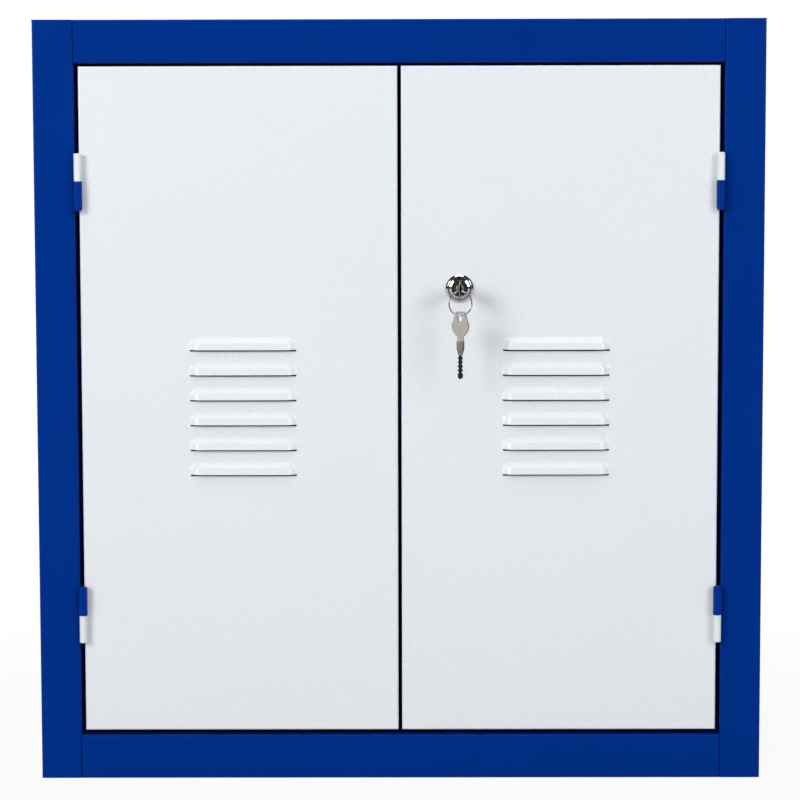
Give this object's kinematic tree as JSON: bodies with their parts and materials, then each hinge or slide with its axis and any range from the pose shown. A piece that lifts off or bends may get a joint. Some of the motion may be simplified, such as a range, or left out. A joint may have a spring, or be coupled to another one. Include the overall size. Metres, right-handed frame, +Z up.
{
  "type": "tool cabinet with doors",
  "caption": "Steel tool cabinet with louvred hinged doors in a folded frame, a rod lock with key, slide bolts and an adjustable shelf.",
  "frame": {"origin": "centre of the bounding box at the base, on the floor", "axes": "+X to the cabinet's right as seen from the front, +Y to its back, +Z up"},
  "size_m": [0.726, 0.4472, 0.761],
  "materials": {
    "body_paint": "semi-gloss blue powder coat",
    "door_paint": "satin white powder coat",
    "zinc": "bright zinc plate",
    "lock_chrome": "polished",
    "plug_metal": "dark nickel",
    "key_steel": "nickel plate",
    "guide_plastic": "matte",
    "bumper_rubber": "matte"
  },
  "bodies": {
    "cabinet": {"left_side_panel": "body_paint", "right_side_panel": "body_paint", "top_panel": "body_paint", "bottom_panel": "body_paint", "back_panel": "body_paint", "back_panel_rivets": "zinc", "door_bumpers": "bumper_rubber", "left_front_rack": "zinc", "left_rear_rack": "zinc", "right_front_rack": "zinc", "right_rear_rack": "zinc", "shelf_clips": "zinc", "shelf": "body_paint", "left_upper_hinge_frame_half": "body_paint", "left_upper_hinge_pin": "zinc", "left_lower_hinge_frame_half": "body_paint", "left_lower_hinge_pin": "zinc", "right_upper_hinge_frame_half": "body_paint", "right_upper_hinge_pin": "zinc", "right_lower_hinge_frame_half": "body_paint", "right_lower_hinge_pin": "zinc"},
    "left_door": {"left_door_panel": "door_paint", "left_upper_hinge_door_half": "door_paint", "left_lower_hinge_door_half": "door_paint", "slide_bolt_guides": "guide_plastic"},
    "right_door": {"right_door_panel": "door_paint", "right_upper_hinge_door_half": "door_paint", "right_lower_hinge_door_half": "door_paint", "lock_housing": "lock_chrome", "lock_nut": "lock_chrome", "lock_rod_guides": "guide_plastic"},
    "plug": {"lock_plug": "plug_metal", "lock_cam": "zinc", "cam_clip": "zinc", "rod_retaining_clips": "zinc"},
    "upper_rod": {"upper_lock_rod": "zinc"},
    "lower_rod": {"lower_lock_rod": "zinc"},
    "upper_bolt": {"upper_slide_bolt": "zinc"},
    "lower_bolt": {"lower_slide_bolt": "zinc"},
    "key_in_lock": {"inserted_key": "key_steel"},
    "ring": {"key_ring": "key_steel"},
    "hanging_key": {"spare_key": "key_steel"}
  },
  "joints": [
    {"name": "left_door_hinge", "type": "hinge", "parent": "cabinet", "child": "left_door", "pos_m": [-0.3185, -0.18225, 0], "axis": [0, 0, -1], "range_deg": [0, 180]},
    {"name": "right_door_hinge", "type": "hinge", "parent": "cabinet", "child": "right_door", "pos_m": [0.3185, -0.18225, 0], "axis": [0, 0, 1], "range_deg": [0, 180]},
    {"name": "key_turn", "type": "hinge", "parent": "right_door", "child": "plug", "pos_m": [0.05985, -0.17955, 0.4952], "axis": [0, -1, 0], "range_deg": [0, 90]},
    {"name": "upper_rod_slide", "type": "slide", "parent": "right_door", "child": "upper_rod", "axis": [0, 0, 1], "range_m": [0, 0.01556]},
    {"name": "lower_rod_slide", "type": "slide", "parent": "right_door", "child": "lower_rod", "axis": [0, 0, -1], "range_m": [0, 0.01556]},
    {"name": "upper_bolt_slide", "type": "slide", "parent": "left_door", "child": "upper_bolt", "axis": [0, 0, 1], "range_m": [0, 0.014]},
    {"name": "lower_bolt_slide", "type": "slide", "parent": "left_door", "child": "lower_bolt", "axis": [0, 0, -1], "range_m": [0, 0.014]},
    {"name": "key_pull", "type": "slide", "parent": "plug", "child": "key_in_lock", "axis": [0, -1, 0], "range_m": [0, 0.03]},
    {"name": "ring_swing", "type": "hinge", "parent": "key_in_lock", "child": "ring", "pos_m": [0.05985, -0.2172, 0.4936], "axis": [0.9397, 0.342, 0], "range_deg": [-60, 10]},
    {"name": "spare_key_swing", "type": "hinge", "parent": "ring", "child": "hanging_key", "pos_m": [0.05985, -0.2172, 0.4697], "axis": [0.9397, 0.342, 0], "range_deg": [-40, 10]}
  ],
  "couplings": [
    {"joint": "key_turn", "follows": "lower_rod_slide", "rad_per_m": 100.97},
    {"joint": "upper_rod_slide", "follows": "lower_rod_slide", "ratio": 1}
  ]
}
